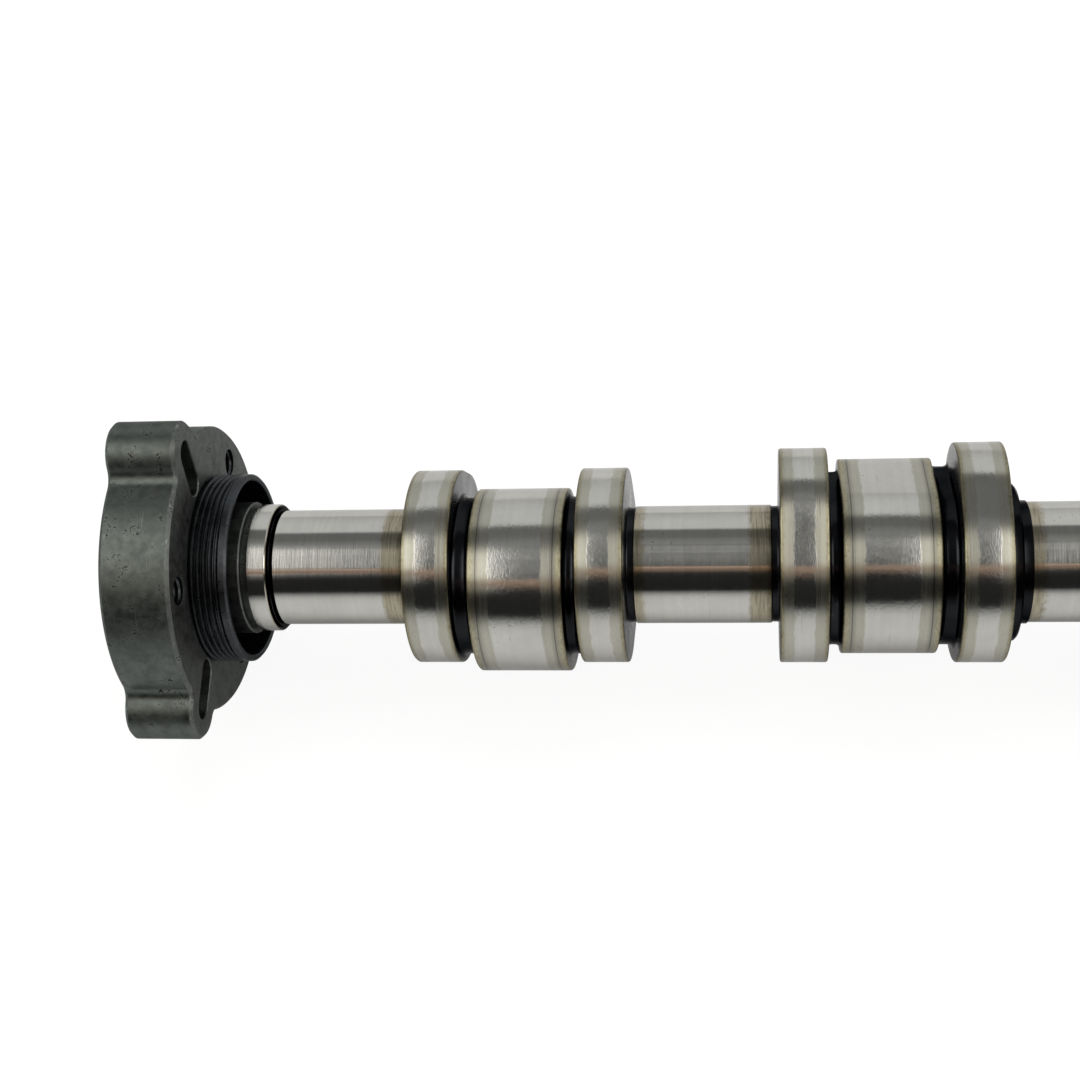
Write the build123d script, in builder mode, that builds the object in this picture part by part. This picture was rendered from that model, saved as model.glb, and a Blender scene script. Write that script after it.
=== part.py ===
"""Camshaft of a four-cylinder diesel engine with unit injectors, with its drive hub.

The shaft lies along X, with the drive hub at its low end, and +Z is up. The
origin is the centre of the front journal. Every turn angle is in degrees about
X, from straight up towards -Y. At rest the hub's rim and one of its ears touch
the ground, so the shaft can't roll.
"""

import os
from math import acos, atan2, cos, degrees, hypot, radians, sin

from build123d import *

# Engine layout: one set of three cams for each cylinder
bore_pitch = 88.0
set_turns = (0.0, 90.0, -90.0, 180.0)

# Journals and the turned steps beside them
journal_radius = 14.25
front_journal_length = 34.0
end_journal_length = 34.0
thrust_collar_radius = 18.6
thrust_collar_width = 2.7
land_radius = 15.85
land_length = 4.9
groove_radius = 13.3
groove_width = 1.1
core_radius = 13.2

# Valve cams: a base circle and a nose circle joined by straight flanks
valve_base_radius = 23.7
valve_nose_radius = 19.0
valve_nose_offset = 9.5
valve_cam_width = 11.2
valve_cam_spacing = 40.8
first_valve_turn = -124.0
second_valve_turn = -148.5

# Injector cam: base circle, slow spiral rise, small nose and a steep straight fall.
# The rise is in mm for each radian of turn, and reaches that rate over the ramp
injector_base_radius = 18.95
injector_rise = 2.7
injector_ramp = 40.0
injector_rise_span = 216.0
injector_nose_radius = 11.0
injector_cam_width = 22.4
injector_shift = 0.45
injector_turn = -49.5
spiral_arcs = 5

# Forged necks between the cams of one set
neck_inset = 2.1

# Drive hub
hub_disc_radius = 35.7
hub_disc_width = 17.1
hub_collar_setback = 12.0
hub_chamfer = 0.8
ear_count = 3
ear_circle_radius = 35.9
ear_tip_radius = 8.0
ear_root_fillet = 3.5
slot_width = 6.3
tapped_circle_radius = 28.8
tapped_hole_radius = 3.4
collar_radius = 23.5
collar_length = 9.6
collar_wall = 1.55
recess_depth = 1.5
sleeve_radius = 16.45
sleeve_nose_radius = 14.9
sleeve_nose_length = 1.5

# Spigot, key, bolt and washer that hold the hub on the shaft
fit_clearance = 0.02
spigot_radius = 11.0
spigot_end_gap = 0.6
key_width = 5.0
key_height = 5.0
key_length = 12.0
key_seat_depth = 3.0
washer_radius = 16.0
washer_thickness = 4.0
washer_counterbore_radius = 18.0
bolt_radius = 6.0
bolt_length = 42.0
bolt_hole_margin = 4.0
bolt_hex_width = 18.0
bolt_head_height = 7.5

# Far end of the shaft: drive slot for a pump and a turning centre
drive_slot_width = 6.5
drive_slot_depth = 6.0
end_chamfer = 1.0
centre_hole_radius = 4.0
centre_hole_depth = 12.0

# How far a selector may be from the radius that it looks for
radius_tolerance = 0.01


def direction(turn):
    """Unit vector, in the plane of a cross section, at a turn angle."""
    return (-sin(radians(turn)), cos(radians(turn)))


def section_point(radius, turn):
    """Point of a cross section at a radius and a turn angle."""
    return tuple(radius * part for part in direction(turn))


# Places along the shaft, from the front journal's centre
front_journal_start = -front_journal_length / 2
front_journal_end = front_journal_length / 2
hub_seat = front_journal_start - groove_width - land_length
set_half_length = (valve_cam_spacing + valve_cam_width) / 2
first_set = front_journal_end + set_half_length
set_centres = [first_set + bore_pitch * index for index in range(len(set_turns))]
last_set_end = set_centres[-1] + set_half_length
shaft_end = last_set_end + end_journal_length
middle_gap = len(set_turns) // 2

# Places along the hub
hub_front = hub_seat - hub_collar_setback
hub_back = hub_front - hub_disc_width
collar_end = hub_front + collar_length
collar_bore_radius = collar_radius - collar_wall
recess_floor = hub_front - recess_depth
washer_seat = hub_back + bolt_head_height + washer_thickness
spigot_end = washer_seat + spigot_end_gap
bolt_seat = washer_seat - washer_thickness
bolt_end = bolt_seat + bolt_length
key_centre = (spigot_end + hub_seat) / 2
key_top = spigot_radius - key_seat_depth + key_height

# The angle of the lowest ear, at which its tip is as low as the hub's rim
ear_rest_angle = degrees(acos((hub_disc_radius - ear_tip_radius) / ear_circle_radius))
ear_turns = [180 + ear_rest_angle + 360 / ear_count * index for index in range(ear_count)]
tapped_turns = [turn + 180 / ear_count for turn in ear_turns]
key_turn = ear_turns[1]


def at_turn(place, turn):
    """Location on the axis, turned about it."""
    return Location((place, 0, 0), (turn, 0, 0))


def spiral_radius(turn_from_rise):
    """Radius of curvature of the injector cam's spiral rise, past the ramp or on it."""
    if turn_from_rise < injector_ramp:
        gain = injector_rise * radians(turn_from_rise) ** 2 / (2 * radians(injector_ramp))
        return injector_base_radius + gain + injector_rise / radians(injector_ramp)
    return injector_base_radius + injector_rise * radians(turn_from_rise - injector_ramp / 2)


def injector_arcs():
    """The injector cam's arcs, from the start of its rise to its nose.

    Each arc is a centre, a radius and the turns where it starts and ends. Its centre
    lies on the radius where the arc before it ends, so all of them are tangent.
    """
    span = (injector_rise_span - injector_ramp) / spiral_arcs
    ends = [injector_ramp + span * index for index in range(spiral_arcs + 1)]
    starts = [0] + ends[:-1]
    radii = [spiral_radius((start + end) / 2) for start, end in zip(starts, ends)]
    centre = Vector(0, 0)
    radius = injector_base_radius
    arcs = []
    for start, end, next_radius in zip(starts + [injector_rise_span], ends + [None],
                                       radii + [injector_nose_radius]):
        centre += Vector(*direction(start)) * (radius - next_radius)
        radius = next_radius
        arcs.append((centre, radius, start, end))
    return arcs


def injector_outline(inset):
    """Injector cam outline with its rise starting straight up, drawn inside its true size."""
    arcs = injector_arcs()
    nose_centre = arcs[-1][0]
    base = injector_base_radius - inset
    nose = injector_nose_radius - inset
    nose_turn = degrees(atan2(-nose_centre.X, nose_centre.Y)) % 360
    fall_turn = nose_turn + degrees(acos((base - nose) / nose_centre.length))
    fall = Vector(*direction(fall_turn))
    with BuildLine() as outline:
        CenterArc((0, 0), base, 90 + fall_turn, 360 - fall_turn)
        for centre, radius, start, end in arcs:
            CenterArc(centre, radius - inset, 90 + start, (end or fall_turn) - start)
        Line(nose_centre + fall * nose, fall * base)
    make_face(outline.edges())


def valve_outline(inset):
    """Valve cam outline with its nose straight up, drawn inside its true size."""
    Circle(valve_base_radius - inset)
    with Locations((0, valve_nose_offset)):
        Circle(valve_nose_radius - inset)
    make_hull()


# One valve cam and one injector cam, centred on the axis
with BuildPart() as valve_cam:
    with BuildSketch(Plane.YZ):
        valve_outline(0)
    extrude(amount=valve_cam_width / 2, both=True)

with BuildPart() as injector_cam:
    with BuildSketch(Plane.YZ):
        injector_outline(0)
    extrude(amount=injector_cam_width / 2, both=True)

# A neck lies inside both of the cams that it joins
necks = []
for valve_turn in (first_valve_turn, second_valve_turn):
    with BuildSketch(Plane.YZ) as injector_inside:
        injector_outline(neck_inset)
    with BuildSketch(Plane.YZ) as valve_inside:
        valve_outline(neck_inset)
    with BuildPart() as neck:
        with BuildSketch(Plane.YZ):
            with Locations(Rotation(0, 0, injector_turn)):
                add(injector_inside.sketch_local)
            with Locations(Rotation(0, 0, valve_turn)):
                add(valve_inside.sketch_local, mode=Mode.INTERSECT)
        extrude(amount=(valve_cam_spacing - injector_cam_width) / 2, both=True)
    necks.append(neck.part)


def turned_steps():
    """The shaft's turned stretches in order, each a start, an end and a radius."""
    steps = [
        (spigot_end, hub_seat, spigot_radius),
        (hub_seat, hub_seat + land_length, land_radius),
        (hub_seat + land_length, front_journal_start, groove_radius),
        (front_journal_start, front_journal_end, journal_radius),
    ]
    for index, centre in enumerate(set_centres):
        set_start = centre - set_half_length
        set_end = centre + set_half_length
        steps.append((set_start, set_end, core_radius))
        if index == len(set_centres) - 1:
            break
        next_start = set_end + bore_pitch - 2 * set_half_length
        if index == middle_gap - 1:
            left = set_end + thrust_collar_width
            right = next_start - thrust_collar_width
            steps.append((set_end, left, thrust_collar_radius))
            steps.append((left, right, journal_radius))
            steps.append((right, next_start, thrust_collar_radius))
        else:
            steps.append((set_end, next_start, journal_radius))
    steps.append((last_set_end, shaft_end, journal_radius))
    return steps


# Camshaft: one forging, turned and ground, with a spigot for the hub
with BuildPart() as camshaft:
    with BuildSketch(Plane.XZ):
        with BuildLine():
            shaft_profile = [(spigot_end, 0)]
            for start, end, radius in turned_steps():
                shaft_profile += [(start, radius), (end, radius)]
            shaft_profile.append((shaft_end, 0))
            Polyline(*shaft_profile, close=True)
        make_face()
    revolve(axis=Axis.X)
    rims = camshaft.edges().filter_by(GeomType.CIRCLE)
    chamfer(rims.group_by(Axis.X)[-1], end_chamfer)

    for index, (centre, set_turn) in enumerate(zip(set_centres, set_turns)):
        shift = injector_shift if index % 2 == 0 else -injector_shift
        with Locations(at_turn(centre - valve_cam_spacing / 2, set_turn + first_valve_turn)):
            add(valve_cam.part)
        with Locations(at_turn(centre + valve_cam_spacing / 2, set_turn + second_valve_turn)):
            add(valve_cam.part)
        with Locations(at_turn(centre + shift, set_turn + injector_turn)):
            add(injector_cam.part)
        for neck_part, neck_side in zip(necks, (-1, 1)):
            with Locations(at_turn(centre + neck_side * valve_cam_spacing / 4, set_turn)):
                add(neck_part)

    with BuildSketch(Plane.YZ.offset(spigot_end)):
        Circle(bolt_radius + fit_clearance)
    extrude(amount=bolt_end + bolt_hole_margin - spigot_end, mode=Mode.SUBTRACT)
    with Locations(at_turn(key_centre, key_turn)):
        with Locations((0, 0, spigot_radius)):
            Box(key_length, key_width, 2 * key_seat_depth, mode=Mode.SUBTRACT)
    with BuildSketch(Plane.YZ.offset(shaft_end)):
        Rectangle(drive_slot_width, 2 * (journal_radius + drive_slot_width))
    extrude(amount=-drive_slot_depth, mode=Mode.SUBTRACT)
    with BuildSketch(Plane.YZ.offset(shaft_end)):
        Circle(centre_hole_radius)
    extrude(amount=-centre_hole_depth, mode=Mode.SUBTRACT)
camshaft.part.label = "camshaft"

# Drive hub: a turned flange with three slotted ears and a threaded collar round a sleeve
with BuildPart() as drive_hub:
    with BuildSketch(Plane.YZ.offset(hub_back)) as flange_outline:
        Circle(hub_disc_radius)
        for turn in ear_turns:
            with Locations(section_point(ear_circle_radius, turn)):
                Circle(ear_tip_radius)
        roots = flange_outline.vertices().filter_by(
            lambda corner: abs(hypot(corner.Y, corner.Z) - hub_disc_radius) < radius_tolerance)
        fillet(roots, ear_root_fillet)
    extrude(amount=hub_disc_width)
    chamfer(drive_hub.edges().group_by(Axis.X)[-1], hub_chamfer)

    with BuildSketch(Plane.XZ):
        with BuildLine():
            Polyline((washer_seat, 0), (hub_seat, 0), (hub_seat, sleeve_nose_radius),
                     (hub_seat - sleeve_nose_length, sleeve_nose_radius),
                     (hub_seat - sleeve_nose_length, sleeve_radius),
                     (washer_seat, sleeve_radius), close=True)
        make_face()
    revolve(axis=Axis.X)
    with BuildSketch(Plane.YZ.offset(hub_front)):
        Circle(collar_radius)
        Circle(sleeve_radius, mode=Mode.SUBTRACT)
    extrude(amount=collar_length)
    with BuildSketch(Plane.YZ.offset(recess_floor)):
        Circle(collar_bore_radius)
        Circle(sleeve_radius, mode=Mode.SUBTRACT)
    extrude(amount=collar_end - recess_floor, mode=Mode.SUBTRACT)

    slot_start = collar_radius + slot_width / 2
    slot_middle = (slot_start + ear_circle_radius) / 2
    for turn in ear_turns:
        with BuildSketch(Plane.YZ.offset(hub_back)):
            with Locations(Location(section_point(slot_middle, turn), (0, 0, 90 + turn))):
                SlotCenterToCenter(ear_circle_radius - slot_start, slot_width)
        extrude(amount=hub_disc_width, mode=Mode.SUBTRACT)
    for turn in tapped_turns:
        with Locations(Plane.YZ.offset(hub_front)):
            with Locations(section_point(tapped_circle_radius, turn)):
                Hole(tapped_hole_radius, hub_disc_width)

    with BuildSketch(Plane.YZ.offset(hub_back)):
        Circle(spigot_radius + fit_clearance)
    extrude(amount=hub_seat - hub_back, mode=Mode.SUBTRACT)
    with BuildSketch(Plane.YZ.offset(hub_back)):
        Circle(washer_counterbore_radius)
    extrude(amount=washer_seat - hub_back, mode=Mode.SUBTRACT)
    with Locations(at_turn((washer_seat + hub_seat) / 2, key_turn)):
        with Locations((0, 0, key_top / 2)):
            Box(hub_seat - washer_seat, key_width + 2 * fit_clearance, key_top + 2 * fit_clearance,
                mode=Mode.SUBTRACT)
drive_hub.part.label = "drive_hub"

# Key between spigot and hub
with BuildPart() as hub_key:
    with Locations(at_turn(key_centre, key_turn)):
        with Locations((0, 0, key_top - key_height / 2)):
            Box(key_length, key_width, key_height)
hub_key.part.label = "hub_key"

# Washer that clamps the hub against the shaft's shoulder
with BuildPart() as hub_washer:
    with BuildSketch(Plane.YZ.offset(washer_seat)):
        Circle(washer_radius)
        Circle(bolt_radius + fit_clearance, mode=Mode.SUBTRACT)
    extrude(amount=-washer_thickness)
hub_washer.part.label = "hub_washer"

# Hexagon bolt in the end of the shaft
with BuildPart() as hub_bolt:
    with BuildSketch(Plane.YZ.offset(bolt_seat)):
        RegularPolygon(bolt_hex_width / 2, 6, major_radius=False)
    extrude(amount=-bolt_head_height)
    with BuildSketch(Plane.YZ.offset(bolt_seat)):
        Circle(bolt_radius)
    extrude(amount=bolt_length)
hub_bolt.part.label = "hub_bolt"

os.makedirs("parts", exist_ok=True)
export_step(camshaft.part, "parts/camshaft.step")
export_step(drive_hub.part, "parts/drive_hub.step")
export_step(hub_key.part, "parts/hub_key.step")
export_step(hub_washer.part, "parts/hub_washer.step")
export_step(hub_bolt.part, "parts/hub_bolt.step")
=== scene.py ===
from math import acos, atan2, cos, degrees, hypot, pi, radians, sin

import bmesh
import bpy
import numpy as np
from mathutils import Matrix, Vector


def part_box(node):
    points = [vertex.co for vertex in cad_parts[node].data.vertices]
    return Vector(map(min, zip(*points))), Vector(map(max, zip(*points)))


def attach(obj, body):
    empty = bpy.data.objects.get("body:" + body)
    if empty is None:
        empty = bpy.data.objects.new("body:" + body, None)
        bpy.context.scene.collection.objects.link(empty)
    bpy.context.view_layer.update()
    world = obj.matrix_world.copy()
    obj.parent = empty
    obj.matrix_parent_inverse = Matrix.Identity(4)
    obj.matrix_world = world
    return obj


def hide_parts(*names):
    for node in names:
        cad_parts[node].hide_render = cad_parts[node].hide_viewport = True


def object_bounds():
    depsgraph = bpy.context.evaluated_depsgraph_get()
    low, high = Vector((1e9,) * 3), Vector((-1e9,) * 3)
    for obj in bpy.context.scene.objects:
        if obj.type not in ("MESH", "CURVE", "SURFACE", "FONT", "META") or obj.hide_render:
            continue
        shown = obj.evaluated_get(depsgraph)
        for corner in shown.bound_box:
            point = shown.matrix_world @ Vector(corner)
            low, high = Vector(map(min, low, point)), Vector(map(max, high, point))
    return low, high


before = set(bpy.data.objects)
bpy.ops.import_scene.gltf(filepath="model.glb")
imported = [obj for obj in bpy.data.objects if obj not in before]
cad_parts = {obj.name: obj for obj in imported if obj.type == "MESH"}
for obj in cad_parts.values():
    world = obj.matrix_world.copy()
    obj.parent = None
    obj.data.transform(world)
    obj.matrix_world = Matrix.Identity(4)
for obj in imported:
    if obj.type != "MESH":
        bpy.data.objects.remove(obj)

cad_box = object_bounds()

# The shaft is one steel forging. Its journals and cams are ground bright, and its necks and the
# sides of its cams keep the black skin of the heat treatment. It is turned between centres, and
# its sizes are in millimetres from the centre of the front journal.
mm = 0.001
ring_points = 288
bore_pitch = 88.0
set_turns = (0, 90, -90, 180)
set_half_length = 26.0
journal_radius = 14.25
journal_half_length = 17.0
journal_chamfer = 0.3
relief_radius = 13.95
relief_width = 1.65
thrust_collar_radius = 18.6
thrust_collar_width = 2.7
thrust_relief_radius = 14.6
thrust_relief_width = 2.7
valve_base_radius = 23.7
valve_nose_radius = 19.0
valve_nose_offset = 9.5
valve_cam_width = 11.2
valve_turns = (-124.0, -148.5)
injector_base_radius = 18.95
injector_nose_radius = 11.0
injector_rise = 2.7
injector_ramp = radians(40)
injector_rise_span = radians(216)
injector_cam_width = 22.4
injector_shift = 0.45
injector_turn = -49.5
neck_inset = 2.1
edge_break = 0.5
neck_fillet = 1.1
journal_fillet = 0.5
land_radius = 15.85
land_length = 4.9
groove_radius = 13.3
groove_width = 1.1
rib_radius = 14.9
spigot_radius = 11.0
bolt_bore_radius = 6.02
bolt_bore_end = 1.4
end_chamfer = 1.0
centre_hole_radius = 4.0
centre_hole_depth = 12.0
shaft_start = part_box("camshaft")[0].x / mm
shaft_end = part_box("camshaft")[1].x / mm

# The heat tint follows each face's distance from the edge, so a larger one keeps the tint away
untinted = 9.0
left_end_shift = 3.2

turns = np.arange(ring_points) * 2 * pi / ring_points
quarter_circle = [radians(step) for step in (0, 30, 60, 90)]
journal_zone, valve_zone, injector_zone, skin_zone, side_zone = range(5)


def valve_reach(turn):
    """Distance from the axis to a valve cam's tangent line, its nose at turn 0."""
    return np.maximum(valve_base_radius, valve_nose_offset * np.cos(turn) + valve_nose_radius)


def injector_reach(turn):
    """The same for an injector cam, whose slow rise starts at turn 0."""
    turn = turn % (2 * pi)
    on_ramp = injector_base_radius + injector_rise * turn ** 2 / (2 * injector_ramp)
    on_spiral = injector_base_radius + injector_rise * (turn - injector_ramp / 2)
    nose_side = injector_base_radius - injector_nose_radius
    nose_side += injector_rise * (injector_rise_span - injector_ramp / 2)
    nose_turn = injector_rise_span + atan2(injector_rise, nose_side)
    on_nose = hypot(nose_side, injector_rise) * np.cos(turn - nose_turn) + injector_nose_radius
    past_rise = np.maximum(on_nose, injector_base_radius)
    rising = np.where(turn < injector_ramp, on_ramp, on_spiral)
    return np.where(turn < injector_rise_span, rising, past_rise)


def outline(reach, nose_turn, inset):
    """Radius at each ring point of a cam: the nearest of its tangent lines, drawn in by the inset."""
    tilts = np.radians(np.linspace(-70, 70, 561))
    directions = turns[:, None] + tilts[None, :] - radians(nose_turn)
    return ((reach(directions) - inset) / np.cos(tilts)).min(axis=1)


rings = []


def ring(place, radius, edge=0.0, zone=skin_zone):
    """Adds a ring. The faces from it to the next ring take its zone."""
    rings.append((place, np.broadcast_to(radius, ring_points), edge, zone))


def root(place, radius, fillet, rising):
    """The fillet between a round stretch and the side of a cam."""
    for step in quarter_circle if rising else reversed(quarter_circle):
        side = -1 if rising else 1
        zone = side_zone if rising and step == quarter_circle[-1] else skin_zone
        ring(place + side * fillet * (1 - sin(step)), radius + fillet * (1 - cos(step)), zone=zone)


def cam(start, width, reach, nose_turn, zone):
    """A ground cam between its two broken edges."""
    rows = []
    for step in quarter_circle:
        inside = outline(reach, nose_turn, edge_break * (1 - sin(step)))
        rows.append((edge_break * (1 - cos(step)), inside))
    for distance, inside in rows:
        ring(start + distance, inside, distance, zone)
    ring(start + width / 2, outline(reach, nose_turn, 0), width / 2, zone)
    for distance, inside in reversed(rows):
        ring(start + width - distance, inside, distance, zone if distance > 0 else side_zone)


def journal(start, end, left_radius, right_radius, left_edge=left_end_shift):
    """A ground journal between two small chamfers. Its left end is tinted less than its right end."""
    ring(start, left_radius, left_edge, journal_zone)
    ring(start + journal_chamfer, journal_radius, left_edge + journal_chamfer, journal_zone)
    ring((start + end) / 2, journal_radius, (end - start) / 2, journal_zone)
    ring(end - journal_chamfer, journal_radius, journal_chamfer, journal_zone)
    ring(end, right_radius, 0, skin_zone)


def cam_set(centre, set_turn, shift):
    """Two valve cams and the injector cam between them, with the necks that join them."""
    angle = set_turn + injector_turn
    valve_angles = [set_turn + turn for turn in valve_turns]
    injector_inside = outline(injector_reach, angle, neck_inset)
    left_neck, right_neck = [np.minimum(outline(valve_reach, turn, neck_inset), injector_inside)
                             for turn in valve_angles]
    left_start = centre - set_half_length
    right_start = left_start + (2 * set_half_length - valve_cam_width)
    injector_start = centre + shift - injector_cam_width / 2
    cam(left_start, valve_cam_width, valve_reach, valve_angles[0], valve_zone)
    root(left_start + valve_cam_width, left_neck, neck_fillet, False)
    root(injector_start, left_neck, neck_fillet, True)
    cam(injector_start, injector_cam_width, injector_reach, angle, injector_zone)
    root(injector_start + injector_cam_width, right_neck, neck_fillet, False)
    root(right_start, right_neck, neck_fillet, True)
    cam(right_start, valve_cam_width, valve_reach, valve_angles[1], valve_zone)


# The end that goes into the hub: bolt bore, spigot, shoulder land and a groove with a thin rib
land_start = -journal_half_length - groove_width - land_length
land_end = land_start + land_length
ring(bolt_bore_end, 0)
ring(bolt_bore_end, bolt_bore_radius)
ring(shaft_start + edge_break, bolt_bore_radius)
ring(shaft_start, bolt_bore_radius + edge_break)
ring(shaft_start, spigot_radius - edge_break)
ring(shaft_start + edge_break, spigot_radius)
ring(land_start, spigot_radius)
ring(land_start, land_radius - edge_break, untinted, journal_zone)
ring(land_start + journal_chamfer, land_radius, untinted, journal_zone)
ring(land_end - journal_chamfer, land_radius, untinted, journal_zone)
ring(land_end, land_radius - journal_chamfer, 0, skin_zone)
rib_sides = [(0, groove_radius), (0.35, groove_radius), (0.4, rib_radius), (0.62, rib_radius),
             (0.67, groove_radius)]
for share, radius in rib_sides:
    ring(land_end + groove_width * share, radius)
ring(-journal_half_length, groove_radius)
journal(-journal_half_length, journal_half_length - relief_width,
        journal_radius - journal_chamfer, relief_radius, untinted)

for index, set_turn in enumerate(set_turns):
    centre = journal_half_length + set_half_length + bore_pitch * index
    set_start = centre - set_half_length
    set_end = centre + set_half_length
    next_start = set_start + bore_pitch
    after_thrust = index == len(set_turns) // 2
    before_thrust = index + 1 == len(set_turns) // 2
    root(set_start, thrust_collar_radius if after_thrust else relief_radius, journal_fillet, True)
    cam_set(centre, set_turn, injector_shift if index % 2 == 0 else -injector_shift)
    root(set_end, thrust_collar_radius if before_thrust else relief_radius, journal_fillet, False)
    if before_thrust:
        left = set_end + thrust_collar_width
        right = next_start - thrust_collar_width
        ring(left - edge_break, thrust_collar_radius)
        ring(left, thrust_collar_radius - edge_break)
        root(left, thrust_relief_radius, journal_fillet, False)
        ring(left + thrust_relief_width, thrust_relief_radius)
        journal(left + thrust_relief_width, right - thrust_relief_width, journal_radius, journal_radius)
        ring(right - thrust_relief_width, thrust_relief_radius)
        root(right, thrust_relief_radius, journal_fillet, True)
        ring(right, thrust_collar_radius - edge_break)
        ring(right + edge_break, thrust_collar_radius)
    elif index + 1 < len(set_turns):
        journal(set_end + relief_width, next_start - relief_width, relief_radius, relief_radius)
journal(set_end + relief_width, shaft_end - end_chamfer, relief_radius, journal_radius)
ring(shaft_end, journal_radius - end_chamfer, zone=side_zone)
ring(shaft_end, centre_hole_radius)
ring(shaft_end - centre_hole_depth / 2, centre_hole_radius / 2)
ring(shaft_end - centre_hole_depth, centre_hole_radius / 2)
ring(shaft_end - centre_hole_depth, 0)


def ring_mesh(name, stations):
    """A closed skin over rings, with a UV map of distance from the edge and share of a turn."""
    radii = np.array([station[1] for station in stations])
    count, points = radii.shape
    places = np.array([np.broadcast_to(station[0], points) for station in stations])
    angles = np.arange(points) * 2 * pi / points
    corners = np.stack([places, -radii * np.sin(angles), radii * np.cos(angles)], axis=-1)
    grid = np.arange(count * points).reshape(count, points)
    beside = np.roll(grid, -1, axis=1)
    faces = np.stack([grid[:-1], beside[:-1], beside[1:], grid[1:]], axis=-1).reshape(-1, 4)
    mesh = bpy.data.meshes.new(name)
    mesh.from_pydata((corners.reshape(-1, 3) * mm).tolist(), [], faces.tolist())
    zones = np.repeat([station[3] for station in stations[:-1]], points)
    mesh.polygons.foreach_set("material_index", zones.astype(np.int32))
    edges = np.array([station[2] for station in stations])
    lower = np.repeat(edges[:-1], points)
    upper = np.repeat(edges[1:], points)
    first = np.tile(np.arange(points), count - 1) / points
    second = first + 1 / points
    flat = np.stack([lower, first, lower, second, upper, second, upper, first], axis=-1)
    mesh.uv_layers.new(name="track").data.foreach_set("uv", flat.ravel())
    shape = bmesh.new()
    shape.from_mesh(mesh)
    bmesh.ops.remove_doubles(shape, verts=shape.verts, dist=1e-7)
    bmesh.ops.dissolve_degenerate(shape, edges=shape.edges, dist=1e-8)
    shape.to_mesh(mesh)
    shape.free()
    return mesh


def new_object(name, mesh):
    """Links a mesh to the scene as an object at the origin."""
    piece = bpy.data.objects.new(name, mesh)
    bpy.context.scene.collection.objects.link(piece)
    return piece


def box_mesh(name, low, high, turn=0.0):
    """A box between two corners in millimetres, turned about the shaft's axis."""
    mesh = bpy.data.meshes.new(name)
    shape = bmesh.new()
    bmesh.ops.create_cube(shape, size=1)
    size = Matrix.Diagonal((*(Vector(high) - Vector(low)), 1))
    centre = Matrix.Translation((Vector(low) + Vector(high)) / 2)
    place = Matrix.Rotation(radians(turn), 4, "X") @ centre @ size
    bmesh.ops.transform(shape, matrix=Matrix.Scale(mm, 4) @ place, verts=shape.verts)
    shape.to_mesh(mesh)
    shape.free()
    return mesh


def cut(piece, cutter_mesh, zone):
    """Cuts a mesh out of a piece for good. The cut faces take the zone's material."""
    cutter_mesh.polygons.foreach_set("material_index", [zone] * len(cutter_mesh.polygons))
    cutter = new_object("cutter", cutter_mesh)
    modifier = piece.modifiers.new("cut", "BOOLEAN")
    modifier.object = cutter
    modifier.solver = "EXACT"
    result = bpy.data.meshes.new_from_object(piece.evaluated_get(bpy.context.evaluated_depsgraph_get()))
    piece.modifiers.remove(modifier)
    piece.data = result
    bpy.data.objects.remove(cutter)


def add_node(tree, kind, **settings):
    """Adds a node. A setting is a property of the node, or else an input, by name, link or value."""
    made = tree.nodes.new(kind)
    for name, value in settings.items():
        if hasattr(made, name):
            setattr(made, name, value)
            continue
        key = int(name[1:]) if name[0] == "i" and name[1:].isdigit() else name.replace("_", " ").title()
        if isinstance(value, bpy.types.NodeSocket):
            tree.links.new(value, made.inputs[key])
        else:
            made.inputs[key].default_value = value
    return made


def calculate(tree, operation, *values):
    """The result of a math node."""
    inputs = {f"i{index}": value for index, value in enumerate(values)}
    return add_node(tree, "ShaderNodeMath", operation=operation, **inputs).outputs[0]


def to_range(tree, value, low, high, to_low, to_high, kind="LINEAR"):
    """A value brought from one range into another."""
    return add_node(tree, "ShaderNodeMapRange", interpolation_type=kind, i0=value, i1=low, i2=high,
                    i3=to_low, i4=to_high).outputs[0]


def soft_step(tree, value, low, high, to_low=0.0, to_high=1.0):
    """The same with soft ends."""
    return to_range(tree, value, low, high, to_low, to_high, "SMOOTHSTEP")


def blend(tree, share, first, second):
    """A mix of two colours."""
    return add_node(tree, "ShaderNodeMix", data_type="RGBA", i0=share, i6=first, i7=second).outputs[2]


def combine(tree, operation, first, second):
    """The result of a vector math node."""
    return add_node(tree, "ShaderNodeVectorMath", operation=operation, i0=first, i1=second).outputs[0]


def scaled(tree, vector, scale):
    """A vector or a colour times a number."""
    return add_node(tree, "ShaderNodeVectorMath", operation="SCALE", i0=vector, Scale=scale).outputs[0]


def noise(tree, vector, scale, detail, roughness):
    """The value of a noise texture."""
    return add_node(tree, "ShaderNodeTexNoise", Vector=vector, Scale=scale, Detail=detail,
                    Roughness=roughness).outputs["Fac"]


def new_group(name, kind, inputs, outputs):
    """A node group. An input's kind follows from its value: number, count, colour or, for None, material."""
    group = bpy.data.node_groups.new(name, kind)
    kinds = {float: "NodeSocketFloat", int: "NodeSocketInt", tuple: "NodeSocketColor"}
    for label, value in inputs.items():
        kind = kinds.get(type(value), "NodeSocketMaterial")
        made = group.interface.new_socket(label, in_out="INPUT", socket_type=kind)
        if value is not None:
            made.default_value = value
    for label, kind in outputs.items():
        group.interface.new_socket(label, in_out="OUTPUT", socket_type=kind)
    return group, group.nodes.new("NodeGroupInput").outputs


def put_out(group, values):
    """Links values to the group's outputs."""
    end = group.nodes.new("NodeGroupOutput")
    for label, value in values.items():
        group.links.new(value, end.inputs[label])


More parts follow.
